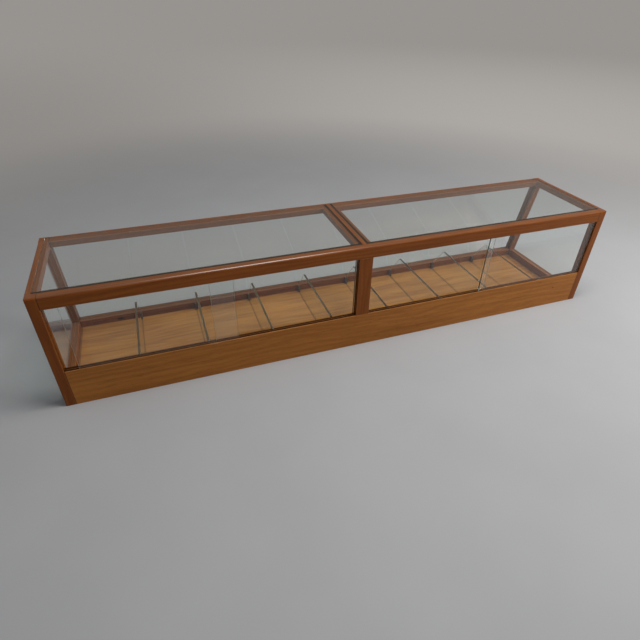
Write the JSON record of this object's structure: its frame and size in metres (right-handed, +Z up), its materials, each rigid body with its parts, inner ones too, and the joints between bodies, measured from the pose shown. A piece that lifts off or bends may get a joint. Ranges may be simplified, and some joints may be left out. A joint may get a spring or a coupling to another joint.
{
  "type": "display case",
  "caption": "Long wooden counter display case with a glass top and ends, a sloping glass customer side, sliding glass doors over a plinth, and lift-out glass dividers.",
  "frame": {"origin": "on the floor, under the middle of the base's footprint", "axes": "+X along the case to the right as seen from the service side, +Y towards the sloping customer side, +Z up"},
  "size_m": [1.83, 0.413, 0.365],
  "materials": {
    "frame_wood": "varnished reddish brown, fine straight grain",
    "plinth_wood": "varnished orange brown with darker figure",
    "base_wood": "satin golden brown",
    "glass": "clear plate glass with green edges",
    "clip_black": "matt black",
    "brass": "dull"
  },
  "bodies": {
    "case": {"front_plinth": "plinth_wood", "back_bottom_rail": "frame_wood", "left_bottom_rail": "frame_wood", "right_bottom_rail": "frame_wood", "front_left_post": "frame_wood", "front_right_post": "frame_wood", "back_left_post": "frame_wood", "back_right_post": "frame_wood", "centre_post": "frame_wood", "top_front_rail": "frame_wood", "top_back_rail": "frame_wood", "top_left_rail": "frame_wood", "top_right_rail": "frame_wood", "top_centre_bar": "frame_wood", "left_end_beads": "frame_wood", "right_end_beads": "frame_wood", "back_beads": "frame_wood", "glazing_pins": "brass", "base_panel": "base_wood", "base_screws": "brass", "front_divider_clips": "clip_black", "back_divider_clips": "clip_black", "top_glass_left": "glass", "top_glass_right": "glass", "back_glass": "glass", "left_end_glass": "glass", "right_end_glass": "glass"},
    "door_left_outer": {"door_left_outer": "glass"},
    "door_left_inner": {"door_left_inner": "glass"},
    "door_right_inner": {"door_right_inner": "glass"},
    "door_right_outer": {"door_right_outer": "glass"},
    "divider_1": {"divider_1": "glass"},
    "divider_2": {"divider_2": "glass"},
    "divider_3": {"divider_3": "glass"},
    "divider_4": {"divider_4": "glass"},
    "divider_5": {"divider_5": "glass"},
    "divider_6": {"divider_6": "glass"},
    "divider_7": {"divider_7": "glass"},
    "divider_8": {"divider_8": "glass"}
  },
  "joints": [
    {"name": "door_left_outer_slide", "type": "slide", "parent": "case", "child": "door_left_outer", "axis": [1, 0, 0], "range_m": [-0.043, 0.386]},
    {"name": "door_left_inner_slide", "type": "slide", "parent": "case", "child": "door_left_inner", "axis": [1, 0, 0], "range_m": [-0.421, 0.008]},
    {"name": "door_right_inner_slide", "type": "slide", "parent": "case", "child": "door_right_inner", "axis": [1, 0, 0], "range_m": [-0.01, 0.419]},
    {"name": "door_right_outer_slide", "type": "slide", "parent": "case", "child": "door_right_outer", "axis": [1, 0, 0], "range_m": [-0.429, 0]},
    {"name": "divider_1_lift", "type": "slide", "parent": "case", "child": "divider_1", "axis": [0, 0, 1], "range_m": [0, 0.045]},
    {"name": "divider_2_lift", "type": "slide", "parent": "case", "child": "divider_2", "axis": [0, 0, 1], "range_m": [0, 0.045]},
    {"name": "divider_3_lift", "type": "slide", "parent": "case", "child": "divider_3", "axis": [0, 0, 1], "range_m": [0, 0.045]},
    {"name": "divider_4_lift", "type": "slide", "parent": "case", "child": "divider_4", "axis": [0, 0, 1], "range_m": [0, 0.045]},
    {"name": "divider_5_lift", "type": "slide", "parent": "case", "child": "divider_5", "axis": [0, 0, 1], "range_m": [0, 0.045]},
    {"name": "divider_6_lift", "type": "slide", "parent": "case", "child": "divider_6", "axis": [0, 0, 1], "range_m": [0, 0.045]},
    {"name": "divider_7_lift", "type": "slide", "parent": "case", "child": "divider_7", "axis": [0, 0, 1], "range_m": [0, 0.045]},
    {"name": "divider_8_lift", "type": "slide", "parent": "case", "child": "divider_8", "axis": [0, 0, 1], "range_m": [0, 0.045]}
  ]
}
